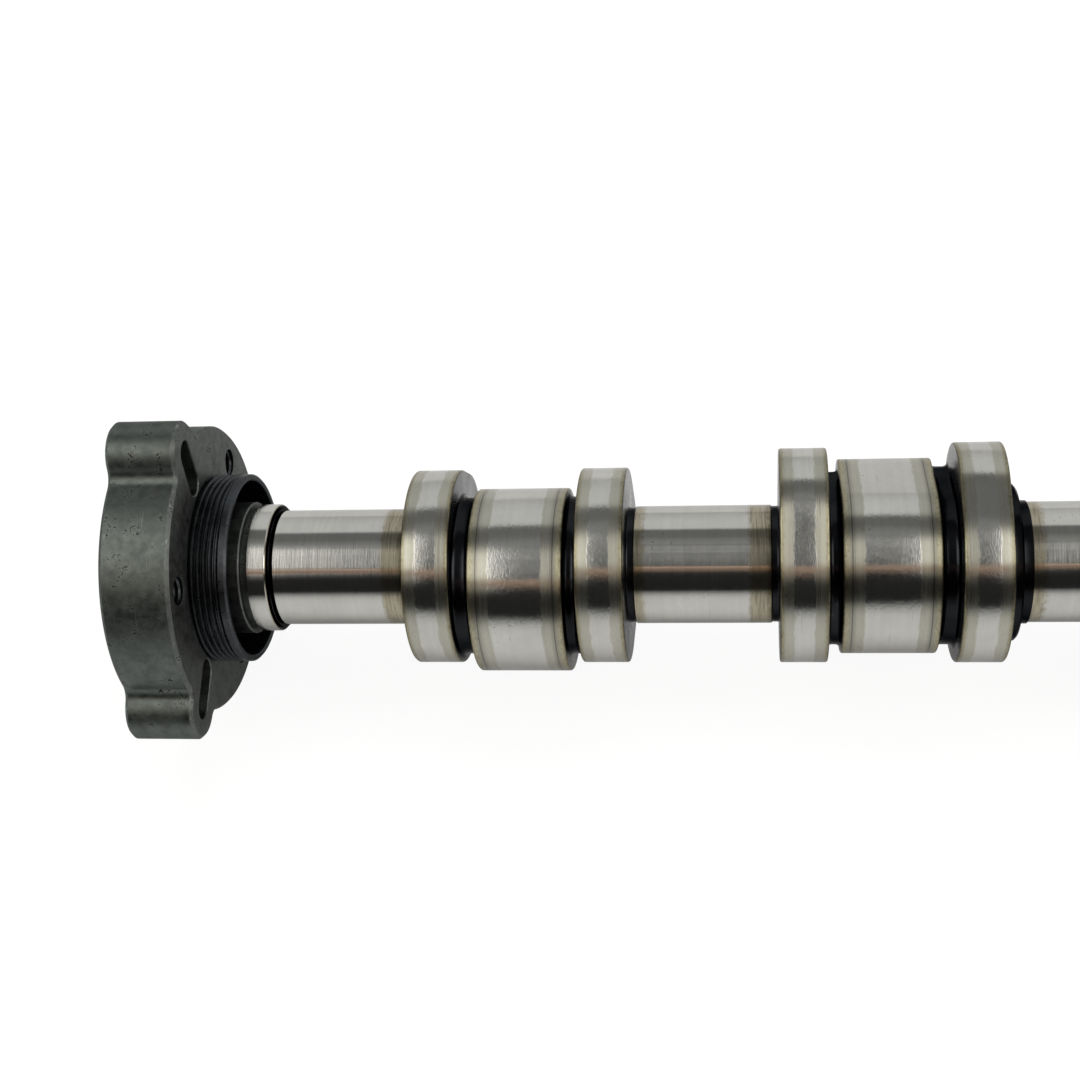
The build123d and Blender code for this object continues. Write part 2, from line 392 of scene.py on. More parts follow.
# Grinding leaves fine lines round the shaft, some of them deeper than the rest
line_group, given = new_group(
    "grinding_lines", "ShaderNodeTree", {"Lines per mm": 4.0, "Run": 0.02, "Seed": 0.0},
    {"Lines": "NodeSocketFloat", "Broad": "NodeSocketFloat"})
place = add_node(line_group, "ShaderNodeTexCoord").outputs["Object"]
across = calculate(line_group, "MULTIPLY", given["Lines per mm"], 1 / mm)
around = calculate(line_group, "MULTIPLY", given["Run"], 1 / mm)
stretch = add_node(line_group, "ShaderNodeCombineXYZ", X=across, Y=around, Z=around).outputs[0]
shifted = combine(line_group, "ADD", combine(line_group, "MULTIPLY", place, stretch), given["Seed"])
put_out(line_group, {"Lines": noise(line_group, shifted, 1.0, 4.0, 0.65),
                     "Broad": noise(line_group, scaled(line_group, shifted, 0.22), 1.0, 3.0, 0.6)})

# Near an edge the steel took a straw to brown tint from the heat of hardening
tint_group, given = new_group(
    "heat_tint", "ShaderNodeTree",
    {"Edge": 0.0, "Width": 2.0, "Full share": 0.2, "Unevenness": 0.5, "Steel": (0.6, 0.6, 0.6, 1),
     "Straw": (0.6, 0.5, 0.3, 1), "Brown": (0.3, 0.2, 0.1, 1)},
    {"Color": "NodeSocketColor", "Tint": "NodeSocketFloat"})
place = add_node(tint_group, "ShaderNodeTexCoord").outputs["Object"]
wander = calculate(tint_group, "SUBTRACT", noise(tint_group, place, 450.0, 5.0, 0.65), 0.5)
wander = calculate(tint_group, "MULTIPLY", wander, given["Unevenness"])
share = calculate(tint_group, "DIVIDE", calculate(tint_group, "ADD", given["Edge"], wander), given["Width"])
tint = soft_step(tint_group, share, given["Full share"], 1.0, 1.0, 0.0)
core = soft_step(tint_group, share, -0.05, 0.3, 1.0, 0.0)
straw = blend(tint_group, tint, given["Steel"], given["Straw"])
put_out(tint_group, {"Color": blend(tint_group, core, straw, given["Brown"]), "Tint": tint})

# Small pits, stains and scuffs, the same on every piece but for their size and amount
blemish_group, given = new_group(
    "blemishes", "ShaderNodeTree", {"Per mm": 1.0, "Amount": 0.3, "Seed": 0.0},
    {"Spots": "NodeSocketFloat", "Cloud": "NodeSocketFloat", "Scratches": "NodeSocketFloat"})
place = add_node(blemish_group, "ShaderNodeTexCoord").outputs["Object"]
moved = combine(blemish_group, "ADD", place, given["Seed"])
scale = calculate(blemish_group, "MULTIPLY", given["Per mm"], 1 / mm)
grain = noise(blemish_group, moved, scale, 5.0, 0.6)
cloud = noise(blemish_group, moved, calculate(blemish_group, "MULTIPLY", scale, 0.12), 4.0, 0.6)
both = calculate(blemish_group, "MULTIPLY", grain, cloud)
spot_start = calculate(blemish_group, "MULTIPLY_ADD", given["Amount"], -0.22, 0.42)
spots = soft_step(blemish_group, both, spot_start, calculate(blemish_group, "ADD", spot_start, 0.05))
drawn_out = add_node(blemish_group, "ShaderNodeMapping", Vector=moved, Rotation=(0.5, 0.9, 0.4),
                     Scale=(5000.0, 110.0, 110.0)).outputs[0]
scratches = soft_step(blemish_group, noise(blemish_group, drawn_out, 1.0, 1.0, 0.4), 0.74, 0.80)
put_out(blemish_group, {"Spots": spots, "Cloud": cloud, "Scratches": scratches})


def new_material(name):
    """A material with its Principled shader."""
    material = bpy.data.materials.new(name)
    material.use_nodes = True
    return material, material.node_tree, material.node_tree.nodes["Principled BSDF"]


def new_metal(name, gleam):
    """A metal. The gleam is how bright it stays where it is seen at a flat angle."""
    material, tree, shader = new_material(name)
    shader.inputs["Metallic"].default_value = 1.0
    shader.inputs["Specular Tint"].default_value = (gleam, gleam, gleam, 1)
    return material, tree, shader


def place_group(tree, group, **values):
    """Places a shader node group, sets its inputs by name and returns its outputs."""
    made = tree.nodes.new("ShaderNodeGroup")
    made.node_tree = group
    for name, value in values.items():
        socket = made.inputs[name.replace("_", " ")]
        if isinstance(value, bpy.types.NodeSocket):
            tree.links.new(value, socket)
        else:
            socket.default_value = value
    return made.outputs


def dress(tree, shader, colour, roughness, height, strength, depth):
    """Links colour, roughness and bump to a shader."""
    bump = add_node(tree, "ShaderNodeBump", Strength=strength, Distance=depth * mm, Height=height)
    tree.links.new(colour, shader.inputs["Base Color"])
    tree.links.new(roughness, shader.inputs["Roughness"])
    tree.links.new(bump.outputs[0], shader.inputs["Normal"])


ground_colour = (0.41, 0.405, 0.35, 1)
polished_colour = (0.53, 0.53, 0.505, 1)
brown_colour = (0.15, 0.13, 0.08, 1)


def ground_steel(name, tint_width, full_share, straw, line_place, stripe_start, mottle_run,
                 dent_height, seed):
    """Ground steel: lines round it, tinted edges and, on a cam, the track that its follower polished."""
    material, tree, shader = new_metal(name, 0.75)
    shader.inputs["Anisotropic"].default_value = 0.85
    tree.links.new(add_node(tree, "ShaderNodeCombineXYZ", X=1.0).outputs[0], shader.inputs["Tangent"])
    track = add_node(tree, "ShaderNodeUVMap", uv_map="track").outputs[0]
    edge = add_node(tree, "ShaderNodeSeparateXYZ", Vector=track).outputs[0]
    lines = place_group(tree, line_group, Lines_per_mm=3.2, Run=0.02, Seed=seed)
    marks = place_group(tree, blemish_group, Per_mm=0.9, Amount=0.1, Seed=seed)
    mottle = place_group(tree, line_group, Lines_per_mm=2.8, Run=mottle_run, Seed=seed + 2)
    stripe_edge = calculate(tree, "MULTIPLY_ADD", mottle["Broad"], 1.6, edge)
    stripe = soft_step(tree, stripe_edge, stripe_start + 0.5, stripe_start + 1.1)
    steel = blend(tree, stripe, ground_colour, polished_colour)
    tint = place_group(tree, tint_group, Edge=edge, Width=tint_width, Full_share=full_share,
                       Unevenness=tint_width * 0.38, Steel=steel, Straw=(*straw, 1), Brown=brown_colour)

    # Dark places: a fine line and its stain beside the edge, streaks, clouds, blemishes and burnt lines
    from_line = calculate(tree, "ABSOLUTE", calculate(tree, "SUBTRACT", edge, line_place))
    fine_line = soft_step(tree, from_line, 0.05, 0.22, 0.5, 1.0)
    stain = soft_step(tree, from_line, 0.1, 1.3, 0.72, 1.0)
    streak = to_range(tree, lines["Broad"], 0.3, 0.7, 0.96, 1.03)
    cloud = to_range(tree, marks["Cloud"], 0.3, 0.7, 0.93, 1.05)
    burnt = calculate(tree, "MULTIPLY", soft_step(tree, mottle["Lines"], 0.5, 0.6, 0.0, 0.9), tint["Tint"])
    blemish = calculate(tree, "MAXIMUM", marks["Spots"], marks["Scratches"])
    blemish = calculate(tree, "MAXIMUM", blemish, burnt)
    shade = calculate(tree, "MULTIPLY", fine_line, stain)
    for part in (streak, cloud, to_range(tree, blemish, 0.0, 1.0, 1.0, 0.65)):
        shade = calculate(tree, "MULTIPLY", shade, part)

    rough = to_range(tree, lines["Lines"], 0.3, 0.75, 0.24, 0.36)
    smooth = to_range(tree, mottle["Lines"], 0.3, 0.75, 0.10, 0.20)
    rough = add_node(tree, "ShaderNodeMix", data_type="FLOAT", i0=stripe, i2=rough, i3=smooth).outputs[0]
    rough = calculate(tree, "MULTIPLY_ADD", tint["Tint"], 0.05, rough)
    patches = to_range(tree, marks["Cloud"], 0.4, 0.6, 0.3, 1.1)
    worn_lines = calculate(tree, "MULTIPLY", lines["Lines"], patches)
    dents = calculate(tree, "MULTIPLY", stripe, mottle["Lines"])
    height = calculate(tree, "MULTIPLY_ADD", dents, dent_height, worn_lines)
    dress(tree, shader, scaled(tree, tint["Color"], shade), rough, height, 0.24, 0.04)
    return material


def black_skin(name, colour, pale, gleam, roughness, per_mm):
    """Steel under a black skin, worn pale in spots."""
    material, tree, shader = new_metal(name, gleam)
    marks = place_group(tree, blemish_group, Per_mm=per_mm, Amount=0.2, Seed=3.0)
    skin = scaled(tree, colour, to_range(tree, marks["Cloud"], 0.3, 0.7, 0.7, 1.5))
    rough = to_range(tree, marks["Cloud"], 0.3, 0.7, roughness - 0.06, roughness + 0.08)
    dress(tree, shader, blend(tree, marks["Spots"], skin, (*pale, 1)), rough, marks["Cloud"], 0.12, 0.05)
    return material


journal_straw = (0.37, 0.34, 0.26)
cam_straw = (0.37, 0.345, 0.24)
shaft = new_object("shaft", ring_mesh("shaft", rings))
for material in (
        ground_steel("ground_journal", tint_width=6.0, full_share=0.75, straw=journal_straw, line_place=-2.0,
                     stripe_start=0.0, mottle_run=0.12, dent_height=1.8, seed=0.0),
        ground_steel("ground_valve_cam", tint_width=1.5, full_share=0.2, straw=cam_straw, line_place=0.0,
                     stripe_start=3.2, mottle_run=1.0, dent_height=3.8, seed=5.0),
        ground_steel("ground_injector_cam", tint_width=2.4, full_share=0.2, straw=cam_straw, line_place=2.15,
                     stripe_start=5.0, mottle_run=1.0, dent_height=3.8, seed=9.0),
        black_skin("forged_skin", (0.016, 0.017, 0.019), pale=(0.04, 0.04, 0.04),
                   gleam=0.45, roughness=0.17, per_mm=0.7),
        black_skin("cam_side_skin", (0.055, 0.060, 0.065), pale=(0.22, 0.23, 0.23),
                   gleam=0.85, roughness=0.24, per_mm=1.6)):
    shaft.data.materials.append(material)
drive_slot_width = 6.5
drive_slot_depth = 6.0
slot_reach = journal_radius + drive_slot_width
cut(shaft, box_mesh("drive_slot", (shaft_end - drive_slot_depth, -drive_slot_width / 2, -slot_reach),
                    (shaft_end + drive_slot_depth, drive_slot_width / 2, slot_reach)), skin_zone)
key_width = 5.0
key_seat_depth = 3.0
key_low, key_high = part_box("hub_key")
key_turn = degrees(atan2(-(key_low.y + key_high.y), key_low.z + key_high.z))
cut(shaft, box_mesh("keyway", (key_low.x / mm, -key_width / 2, spigot_radius - key_seat_depth),
                    (key_high.x / mm, key_width / 2, spigot_radius + key_seat_depth), key_turn), skin_zone)


def finish_mesh(piece, sharp_angle):
    """Smooth shading, with creases kept sharp."""
    piece.data.shade_smooth()
    piece.data.set_sharp_from_angle(angle=radians(sharp_angle))


finish_mesh(shaft, 32)
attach(shaft, "root")
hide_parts("camshaft")

# The drive hub is a turned steel flange with three slotted ears, three tapped holes and a
# threaded collar round its sleeve. It is blackened all over, and its rims are worn bright.
hub_disc_radius = 35.7
hub_width = 17.1
hub_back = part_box("drive_hub")[0].x / mm
hub_front = hub_back + hub_width
hub_seat = land_start
ear_circle_radius = 35.9
ear_tip_radius = 8.0
ear_root_fillet = 3.5
rim_chamfer = 0.8
lip = 0.25
slot_radius = 3.15
tapped_circle_radius = 28.8
tapped_hole_radius = 3.4
collar_radius = 23.5
collar_bore_radius = 21.95
collar_length = 9.6
collar_end = hub_front + collar_length
collar_chamfer = 0.5
small_chamfer = 0.3
thread_depth = 0.75
thread_pitch = 1.5
thread_turns = 5
thread_runout = 1.9
thread_bevel = 0.2
recess_depth = 1.5
recess_floor = hub_front - recess_depth
recess_round = 0.8
sleeve_radius = 16.45
sleeve_nose_radius = 14.9
sleeve_nose_length = 1.5
sleeve_end = hub_seat - sleeve_nose_length
hub_bore_radius = 11.02
counterbore_radius = 18.0
counterbore_depth = 11.5
counterbore_chamfer = 0.4
washer_seat = hub_back + counterbore_depth
wear_reach = 1.2
fillet_steps = 10
slot_end_steps = 24
hole_steps = 40
rim_steps = 48
round_steps = 144
margin = 0.05
ear_rest_turn = degrees(acos((hub_disc_radius - ear_tip_radius) / ear_circle_radius))
ear_turns = [180 + ear_rest_turn + 120 * index for index in range(3)]
rim_zone, collar_zone, face_zone = range(3)
hub = bmesh.new()
worn = hub.verts.layers.float.new("worn")


def at_turn(radius, turn):
    """The point at a radius and a turn, as Y and Z."""
    return Vector((-sin(radians(turn)) * radius, cos(radians(turn)) * radius))


def arc(centre, radius, first, last, count):
    """Points along an arc, without its last one."""
    return [centre + at_turn(radius, first + (last - first) * step / count) for step in range(count)]


def flange_outline(inset):
    """The flange with its three ears, drawn inside its true size."""
    fillet_circle = hub_disc_radius + ear_root_fillet
    reach = ear_tip_radius + ear_root_fillet
    spread = degrees(acos((fillet_circle ** 2 + ear_circle_radius ** 2 - reach ** 2)
                          / (2 * fillet_circle * ear_circle_radius)))
    points = []
    for turn in ear_turns:
        centre = at_turn(ear_circle_radius, turn)
        before = at_turn(fillet_circle, turn - spread)
        after = at_turn(fillet_circle, turn + spread)
        lean = degrees((before - centre).angle(at_turn(1, turn)))
        fillet = ear_root_fillet + inset
        points += arc(before, fillet, turn - spread + 180, turn - lean + 180, fillet_steps)
        points += arc(centre, ear_tip_radius - inset, turn - lean, turn + lean, rim_steps)
        points += arc(after, fillet, turn + lean - 180, turn + spread - 180, fillet_steps)
        points += arc(Vector((0, 0)), hub_disc_radius - inset, turn + spread, turn + 120 - spread, rim_steps)
    return points


def slot_outline(turn, inset):
    """One of the slots that run out into the ears, round at both ends."""
    radius = slot_radius - inset
    inner = at_turn(collar_radius + slot_radius + 2 * lip, turn)
    outer = at_turn(ear_circle_radius, turn)
    points = arc(outer, radius, turn - 90, turn + 90, slot_end_steps)
    points.append(outer + at_turn(radius, turn + 90))
    points += arc(inner, radius, turn + 90, turn + 270, slot_end_steps)
    points.append(inner + at_turn(radius, turn - 90))
    return points


def circle(radius, centre=None):
    """The points of a circle round the hub's axis, or of a hole round its own centre."""
    return arc(centre or Vector((0, 0)), radius, 0, 360, hole_steps if centre else round_steps)


def loop(points, place, wear=0.0):
    """A closed row of corners at one place along the hub."""
    corners = []
    for point in points:
        corner = hub.verts.new((place * mm, point.x * mm, point.y * mm))
        corner[worn] = wear
        corners.append(corner)
    return corners


def stack(loops):
    """Bands of faces through a row of loops. Returns the first and the last loop."""
    for first, second in zip(loops, loops[1:]):
        for index, corner in enumerate(first):
            after = (index + 1) % len(first)
            hub.faces.new((corner, first[after], second[after], second[index]))
    return loops[0], loops[-1]


def flat(loops):
    """One flat face with holes between loops."""
    edges = []
    for row in loops:
        for index, corner in enumerate(row):
            pair = (corner, row[(index + 1) % len(row)])
            edges.append(hub.edges.get(pair) or hub.edges.new(pair))
    bmesh.ops.triangle_fill(hub, edges=edges, use_beauty=True)


# Each end of the rim: how far in and how far along each row lies, in chamfers, and how worn it is
rim_rows = [(2, 0, 0.0), (1, 0, 0.8), (0.25, 0.75, 1.0), (0, 1.1, 0.7), (0, 2, 0.0)]
rim_loops = [loop(flange_outline(rim_chamfer * inset), hub_back + rim_chamfer * along, wear)
             for inset, along, wear in rim_rows]
rim_loops += [loop(flange_outline(rim_chamfer * inset), hub_front - rim_chamfer * along, wear)
              for inset, along, wear in reversed(rim_rows)]
loop_pairs = [stack(rim_loops)]

holes = [[slot_outline(turn, inset) for inset in (-lip, 0)] for turn in ear_turns]
tapped_centres = [at_turn(tapped_circle_radius, turn + 60) for turn in ear_turns]
for centre in tapped_centres:
    holes.append([circle(tapped_hole_radius + 2 * lip, centre), circle(tapped_hole_radius, centre)])
for wide, true_size in holes:
    loop_pairs.append(stack([
        loop(wide, hub_back, 0.3),
        loop(true_size, hub_back + lip, 0.6),
        loop(true_size, hub_back + 4 * lip),
        loop(true_size, hub_front - 4 * lip),
        loop(true_size, hub_front - lip, 0.6),
        loop(wide, hub_front, 0.3)]))

crest_end = collar_end - thread_runout
thread_start = crest_end - thread_pitch * thread_turns
thread_core = collar_radius - thread_depth
collar_profile = [
    (hub_front, collar_radius, 0),
    (thread_start, collar_radius, 0),
    (thread_start + thread_bevel, thread_core, 0),
    (crest_end - thread_bevel, thread_core, 0),
    (crest_end, collar_radius, 0.4),
    (collar_end - collar_chamfer, collar_radius, 0.3),
    (collar_end, collar_radius - collar_chamfer, 0.6),
    (collar_end, collar_bore_radius + small_chamfer, 0.6),
    (collar_end - small_chamfer, collar_bore_radius, 0.2),
    (collar_end - wear_reach, collar_bore_radius, 0),
    (recess_floor + recess_round, collar_bore_radius, 0),
    (recess_floor, collar_bore_radius - recess_round, 0),
    (recess_floor, sleeve_radius + recess_round, 0),
    (recess_floor + recess_round, sleeve_radius, 0),
    (sleeve_end - small_chamfer, sleeve_radius, 0),
    (sleeve_end, sleeve_radius - small_chamfer, 0.3),
    (sleeve_end, sleeve_nose_radius, 0),
    (hub_seat, sleeve_nose_radius, 0),
    (hub_seat, hub_bore_radius + small_chamfer, 0),
    (hub_seat - small_chamfer, hub_bore_radius, 0),
    (washer_seat, hub_bore_radius, 0),
    (washer_seat, counterbore_radius, 0),
    (hub_back + wear_reach, counterbore_radius, 0),
    (hub_back + counterbore_chamfer, counterbore_radius, 0.5),
    (hub_back, counterbore_radius + counterbore_chamfer, 0.6)]
collar_loops = [loop(circle(radius), place, wear) for place, radius, wear in collar_profile]
collar_base, counterbore_rim = stack(collar_loops)
loop_pairs.append((counterbore_rim, collar_base))
flat([at_front for at_back, at_front in loop_pairs])
flat([at_back for at_back, at_front in loop_pairs])
bmesh.ops.recalc_face_normals(hub, faces=hub.faces)
for face in hub.faces:
    middle = face.calc_center_median() / mm
    from_axis = middle.yz.length
    in_collar = middle.x > hub_front + margin or (middle.x > washer_seat and from_axis < collar_bore_radius)
    # The sleeve in the collar's recess takes the lighter rim oxide, not the collar's dark oxide: painted
    # light where little light reaches the recess.
    sleeve_painted_light = middle.x > recess_floor and sleeve_nose_radius - margin < from_axis < sleeve_radius + margin
    in_hole = any((middle.yz - centre).length < tapped_hole_radius + margin for centre in tapped_centres)
    if (in_collar and not sleeve_painted_light) or in_hole:
        face.material_index = collar_zone
    else:
        face.material_index = face_zone if face.normal.x > 0.5 else rim_zone
hub_mesh = bpy.data.meshes.new("hub_body")
hub.to_mesh(hub_mesh)
hub.free()
hub_body = new_object("hub_body", hub_mesh)
pit_colour = (0.02, 0.016, 0.012, 1)


def black_oxide(name, colour, pale, roughness, seed):
    """Blackened steel, worn bright at its rims, with pits and light scratches."""
    material, tree, shader = new_metal(name, 0.5)
    marks = place_group(tree, blemish_group, Per_mm=2.2, Amount=0.42, Seed=seed)
    small = place_group(tree, blemish_group, Per_mm=4.0, Amount=0.5, Seed=seed + 4)
    skin = scaled(tree, colour, to_range(tree, marks["Cloud"], 0.3, 0.7, 0.75, 1.3))
    pitted = blend(tree, marks["Spots"], skin, pit_colour)
    wear = add_node(tree, "ShaderNodeAttribute", attribute_name="worn").outputs["Fac"]
    bare = soft_step(tree, calculate(tree, "MULTIPLY_ADD", small["Cloud"], 1.6, wear), 1.86, 2.08, 0.0, 0.65)
    bare = calculate(tree, "MAXIMUM", bare, calculate(tree, "MULTIPLY", small["Scratches"], 0.35))
    rough = to_range(tree, small["Cloud"], 0.3, 0.7, roughness - 0.07, roughness + 0.1)
    height = calculate(tree, "MULTIPLY_ADD", marks["Spots"], -1.5, small["Cloud"])
    dress(tree, shader, blend(tree, bare, pitted, (*pale, 1)), rough, height, 0.3, 0.06)
    return material


rim_black = black_oxide("black_oxide", (0.114, 0.128, 0.120), pale=(0.42, 0.46, 0.48),
                        roughness=0.38, seed=2.0)
collar_black = black_oxide("collar_oxide", (0.058, 0.063, 0.069), pale=(0.17, 0.18, 0.19),
                           roughness=0.31, seed=7.0)
face_black = black_oxide("turned_oxide", (0.122, 0.131, 0.126), pale=(0.36, 0.39, 0.41),
                         roughness=0.46, seed=11.0)
for material in (rim_black, collar_black, face_black):
    hub_body.data.materials.append(material)
key_top = 13.0
overrun = 0.5
cut(hub_body, box_mesh("hub_keyway", (washer_seat - overrun, -key_width / 2, 0),
                       (hub_seat + overrun, key_width / 2, key_top), key_turn), collar_zone)
finish_mesh(hub_body, 30)
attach(hub_body, "root")
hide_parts("drive_hub")

# The threads are cut in the hub itself: five turns outside the collar for a ring nut, and one
# through each of the three tapped holes. Each is a ridge with flat crests, swept along a helix.
foot_share = 0.92
crest_share = 0.18
thread_lead = 0.15
thread_overlap = 0.1
tapped_pitch = 1.25
tapped_depth = 0.55
tapped_inset = 0.8
thread_tree, given = new_group(
    "helical_thread", "GeometryNodeTree",
    {"Radius": 0.02, "Pitch": 0.001, "Turns": 5.0, "Steps per turn": 96, "Ridge height": 0.001, "Start": 0.0,
     "Count": 1, "Circle radius": 0.0, "First turn": 0.0, "Section turn": 1.5708, "Material": None},
    {"Geometry": "NodeSocketGeometry"})


def grow_node(kind, **settings):
    """Adds a node to the thread's tree and returns its first output."""
    return add_node(thread_tree, kind, **settings).outputs[0]


helix = grow_node("GeometryNodeCurveSpiral", Resolution=given["Steps per turn"], Rotations=given["Turns"],
                  Start_radius=given["Radius"], End_radius=given["Radius"],
                  Height=calculate(thread_tree, "MULTIPLY", given["Pitch"], given["Turns"]))
upright = grow_node("GeometryNodeSetCurveNormal", mode="Z_UP", Curve=helix)
foot = calculate(thread_tree, "MULTIPLY", given["Pitch"], foot_share)
crest = calculate(thread_tree, "MULTIPLY", given["Pitch"], crest_share)
section = grow_node("GeometryNodeCurvePrimitiveQuadrilateral", mode="TRAPEZOID", Offset=0.0,
                    Bottom_width=foot, Top_width=crest, Height=given["Ridge height"])
turned = grow_node("GeometryNodeTransform", Geometry=section,
                   Rotation=grow_node("ShaderNodeCombineXYZ", Z=given["Section turn"]))
swept = grow_node("GeometryNodeCurveToMesh", Curve=upright, Profile_curve=turned, Fill_caps=True)
laid = grow_node("GeometryNodeTransform", Geometry=swept, Rotation=(0, radians(90), 0))
share = calculate(thread_tree, "DIVIDE", grow_node("GeometryNodeInputIndex"), given["Count"])
angle = calculate(thread_tree, "MULTIPLY_ADD", share, 2 * pi, given["First turn"])
minus = calculate(thread_tree, "MULTIPLY", given["Circle radius"], -1.0)
sideways = calculate(thread_tree, "MULTIPLY", calculate(thread_tree, "SINE", angle), minus)
upwards = calculate(thread_tree, "MULTIPLY", calculate(thread_tree, "COSINE", angle), given["Circle radius"])
spot = grow_node("ShaderNodeCombineXYZ", X=given["Start"], Y=sideways, Z=upwards)
points = grow_node("GeometryNodePoints", Count=given["Count"], Position=spot)
copies = grow_node("GeometryNodeInstanceOnPoints", Points=points, Instance=laid)
real = grow_node("GeometryNodeRealizeInstances", Geometry=copies)
painted = grow_node("GeometryNodeSetMaterial", Geometry=real, Material=given["Material"])
put_out(thread_tree, {"Geometry": painted})


def grow(name, tree, values):
    """Runs a geometry tree with its named inputs and keeps the result as a plain mesh."""
    piece = new_object(name, bpy.data.meshes.new(name))
    modifier = piece.modifiers.new("grow", "NODES")
    modifier.node_group = tree
    for item in tree.interface.items_tree:
        if item.item_type == "SOCKET" and item.in_out == "INPUT" and item.name in values:
            modifier[item.identifier] = values[item.name]
    mesh = bpy.data.meshes.new_from_object(piece.evaluated_get(bpy.context.evaluated_depsgraph_get()))
    piece.modifiers.remove(modifier)
    piece.data = mesh
    return piece


collar_thread = grow("collar_thread", thread_tree, {
    "Radius": (thread_core + thread_depth / 2 - thread_overlap / 2) * mm, "Pitch": thread_pitch * mm,
    "Turns": thread_turns - 2 * thread_lead, "Steps per turn": round_steps,
    "Ridge height": (thread_depth + thread_overlap) * mm, "Section turn": radians(90),
    "Start": (crest_end - thread_pitch * (thread_turns - thread_lead)) * mm, "Material": collar_black})
hole_threads = grow("hole_threads", thread_tree, {
    "Radius": (tapped_hole_radius - tapped_depth / 2 + thread_overlap) * mm, "Pitch": tapped_pitch * mm,
    "Turns": (hub_width - 2 * tapped_inset) / tapped_pitch, "Steps per turn": 28,
    "Ridge height": tapped_depth * mm, "Section turn": radians(-90), "Start": (hub_back + tapped_inset) * mm,
    "Count": len(tapped_centres), "Circle radius": tapped_circle_radius * mm,
    "First turn": radians(ear_turns[0] + 60), "Material": collar_black})
for thread in (collar_thread, hole_threads):
    finish_mesh(thread, 40)
    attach(thread, "root")

# The key is a plain ground block of phosphated steel. It lies half in the shaft's spigot and
# half in the hub's bore, so that the hub can't turn on the shaft.
fastener_grey = black_skin("phosphated_steel", (0.11, 0.11, 0.112), pale=(0.25, 0.24, 0.23),
                           gleam=0.45, roughness=0.42, per_mm=1.2)
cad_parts["hub_key"].data.materials.clear()
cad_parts["hub_key"].data.materials.append(fastener_grey)

# The washer is a thick turned disc of phosphated steel in the hub's counterbore. It spreads the
# bolt's pull over the hub.
washer_radius = 16.0
washer_thickness = 4.0
washer_back = washer_seat - washer_thickness
washer_round = 0.8
round_middle = 0.25
washer_chamfer = 0.3


def turned_piece(name, profile):
    """A closed piece from places and radii, each a number or a row of numbers round the axis."""
    stations = [(place, np.broadcast_to(radius, round_steps), 0.0, 0) for place, radius in profile]
    return new_object(name, ring_mesh(name, stations))


washer = turned_piece("clamp_washer", [
    (washer_back, bolt_bore_radius),
    (washer_back, washer_radius - washer_round),
    (washer_back + round_middle, washer_radius - round_middle),
    (washer_back + washer_round, washer_radius),
    (washer_seat - washer_chamfer, washer_radius),
    (washer_seat, washer_radius - washer_chamfer),
    (washer_seat, bolt_bore_radius),
    (washer_back, bolt_bore_radius)])
washer.data.materials.append(fastener_grey)
finish_mesh(washer, 25)
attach(washer, "root")
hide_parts("hub_washer")

# The bolt is a forged and phosphated hexagon bolt. It runs through the washer into the bore in
# the end of the shaft and clamps the hub against the shoulder land.
bolt_radius = 6.0
bolt_length = 42.0
bolt_end = washer_back + bolt_length
bolt_chamfer = 0.9
head_height = 7.5
head_face = washer_back - head_height
head_foot = 0.35
dimple_radius = 5.0
dimple_depth = 0.5
hex_half_width = 9.0
foot_radius = hex_half_width * 0.97
crown_radius = hex_half_width * 0.95
crown_slope = 0.577
head_angles = np.arange(round_steps) * 2 * pi / round_steps
hexagon = hex_half_width / np.cos((head_angles + pi / 6) % (pi / 3) - pi / 6)
crown_drop = np.maximum(hexagon - crown_radius, 0) * crown_slope
bolt = turned_piece("hex_bolt", [
    (head_face + dimple_depth, 0.0),
    (head_face + dimple_depth, dimple_radius),
    (head_face, dimple_radius + dimple_depth),
    (head_face, crown_radius),
    (head_face + crown_drop, hexagon),
    (washer_back - head_foot, hexagon),
    (washer_back, foot_radius),
    (washer_back, bolt_radius),
    (bolt_end - bolt_chamfer, bolt_radius),
    (bolt_end, bolt_radius - bolt_chamfer),
    (bolt_end, 0.0)])
bolt.data.materials.append(fastener_grey)
finish_mesh(bolt, 25)
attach(bolt, "root")
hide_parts("hub_bolt")

# The floor is a pale sheet that the hub's rim and one ear rest on. The camera sees it nearly
# white with the shaft's soft shadow, and polished steel mirrors it as grey.
floor_size = 3.0
floor_gap = 0.05 * mm
floor_mesh = bpy.data.meshes.new("floor")
floor_shape = bmesh.new()
bmesh.ops.create_grid(floor_shape, x_segments=1, y_segments=1, size=floor_size)
bmesh.ops.translate(floor_shape, vec=(0, 0, cad_box[0].z - floor_gap), verts=floor_shape.verts)
floor_shape.to_mesh(floor_mesh)
floor_shape.free()
floor = new_object("floor", floor_mesh)
floor_paper, tree, shader = new_material("floor_paper")
shader.inputs["Base Color"].default_value = (0.86, 0.86, 0.86, 1)
shader.inputs["Roughness"].default_value = 0.9
rays = add_node(tree, "ShaderNodeLightPath").outputs
level = to_range(tree, rays["Is Glossy Ray"], 0.0, 1.0, 1.02, 0.46)
white = add_node(tree, "ShaderNodeEmission", Color=(1, 1, 1, 1), Strength=level)
mixed = add_node(tree, "ShaderNodeMixShader", i0=to_range(tree, rays["Is Camera Ray"], 0.0, 1.0, 0.5, 0.9),
                 i1=shader.outputs[0], i2=white.outputs[0])
tree.links.new(mixed.outputs[0], tree.nodes["Material Output"].inputs["Surface"])
floor.data.materials.append(floor_paper)

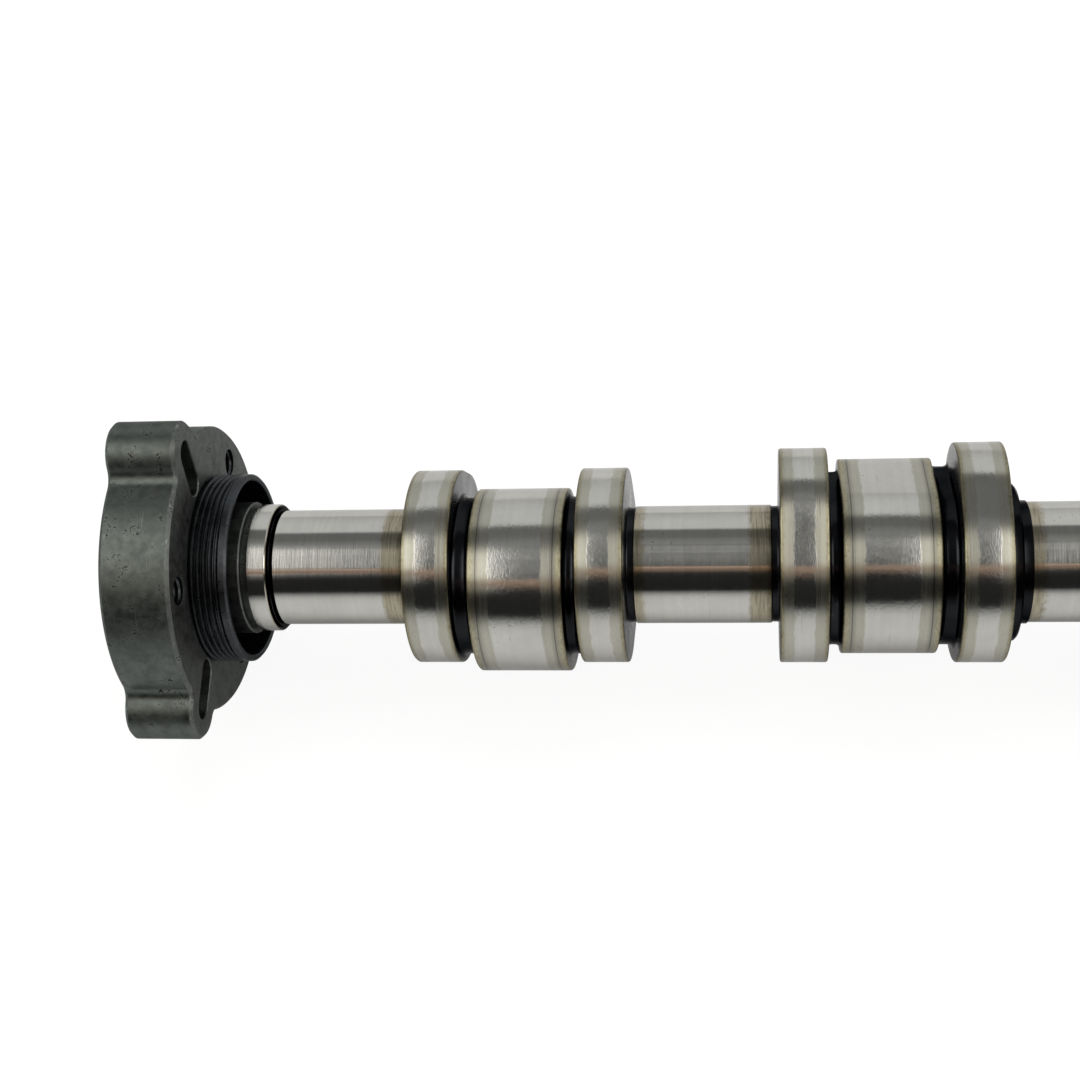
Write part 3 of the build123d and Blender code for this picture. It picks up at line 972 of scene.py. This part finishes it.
# The studio is a soft tent round the shaft: bright behind it, grey overhead and dark in front,
# with a soft lamp at either side of the camera. Round steel shows it as long light and dark bands.
world = bpy.data.worlds.new("studio")
bpy.context.scene.world = world
world.use_nodes = True
tree = world.node_tree
tree.nodes.clear()
direction = add_node(tree, "ShaderNodeTexCoord").outputs["Generated"]
apart = add_node(tree, "ShaderNodeSeparateXYZ", Vector=direction).outputs
turn = calculate(tree, "ARCTAN2", calculate(tree, "MULTIPLY", apart["Y"], -1.0), apart["Z"])
tent = add_node(tree, "ShaderNodeValToRGB", i0=to_range(tree, turn, -pi, pi, 0.0, 1.0))
bands = [(-180, 0.30), (-150, 0.32), (-114, 0.46), (-90, 0.66), (-67, 0.80), (-46, 0.80), (-42, 0.19),
         (-26, 0.20), (-21, 0.27), (-12, 0.32), (-9, 0.23), (-6, 0.36), (2, 0.29), (4, 0.38), (7, 0.24),
         (16, 0.24), (26, 0.17), (32.4, 0.13), (33.4, 0.70), (34.6, 0.70), (35.4, 0.36), (39, 0.26),
         (45, 0.03), (80, 0.02), (91, 0.6)]
warm_bands = (33.4, 34.6, 35.4, 39)
ramp = tent.color_ramp
while len(ramp.elements) < len(bands):
    ramp.elements.new(0.5)
for element, (band_turn, level) in zip(ramp.elements, bands):
    element.position = band_turn / 360 + 0.5
    warm = band_turn in warm_bands
    element.color = (level * 1.1, level * 0.76, level * 0.56, 1) if warm else (level, level, level * 0.985, 1)
beside = soft_step(tree, calculate(tree, "ABSOLUTE", apart["X"]), 0.26, 0.42)
lamp_top = soft_step(tree, turn, radians(-20), radians(-2))
lamp_foot = soft_step(tree, turn, radians(30), radians(56), 1.0, 0.0)
from_gap = calculate(tree, "ABSOLUTE", calculate(tree, "SUBTRACT", turn, radians(36.4)))
lamp = calculate(tree, "MULTIPLY", beside, lamp_top)
lamp = calculate(tree, "MULTIPLY", lamp, lamp_foot)
lamp = calculate(tree, "MULTIPLY", lamp, soft_step(tree, from_gap, radians(3.5), radians(5.5), 0.2, 1.0))
tent_colour = blend(tree, lamp, tent.outputs[0], (1.0, 0.97, 0.91, 1))
tent_light = add_node(tree, "ShaderNodeBackground", Color=tent_colour,
                      Strength=calculate(tree, "MULTIPLY_ADD", lamp, 1.9, 1.0))
pale_backdrop = add_node(tree, "ShaderNodeBackground", Color=(1, 1, 1, 1), Strength=0.98)
rays = add_node(tree, "ShaderNodeLightPath").outputs
seen = add_node(tree, "ShaderNodeMixShader", i0=rays["Is Camera Ray"], i1=tent_light.outputs[0],
                i2=pale_backdrop.outputs[0])
add_node(tree, "ShaderNodeOutputWorld", Surface=seen.outputs[0])

# One soft lamp hangs over the shaft, a little behind it. It lights the floor and the dull black
# steel, and polished steel doesn't mirror it.
lamp_place = Vector((0.1, 0.35, 0.75))
lamp_target = Vector((0.1, 0.0, 0.0))
top_light = bpy.data.lights.new("soft_top", "AREA")
top_light.shape = "RECTANGLE"
top_light.size = 0.9
top_light.size_y = 0.5
top_light.energy = 7.0
top_lamp = bpy.data.objects.new("soft_top", top_light)
top_lamp.location = lamp_place
top_lamp.rotation_euler = (lamp_target - lamp_place).to_track_quat("-Z", "Y").to_euler()
top_lamp.visible_glossy = False
bpy.context.scene.collection.objects.link(top_lamp)

# The camera looks down on the shaft from in front. It shows the hub and the first two sets of
# cams, as far as the first thrust collar.
camera_place = (0.099725, -0.18862, 0.34565)
camera_turns = ((28.5, "X"), (7.634, "Y"), (1.019, "X"), (-0.413, "Z"))
camera_data = bpy.data.cameras.new("camera")
camera_data.lens = 53.86
camera_data.sensor_width = 36.0
camera_data.clip_start = 0.01
camera = bpy.data.objects.new("camera", camera_data)
aim = Matrix()
for camera_turn, axis in camera_turns:
    aim = aim @ Matrix.Rotation(radians(camera_turn), 4, axis)
camera.matrix_world = Matrix.Translation(camera_place) @ aim
bpy.context.scene.collection.objects.link(camera)
bpy.context.scene.camera = camera
bpy.context.scene.view_settings.view_transform = "Standard"
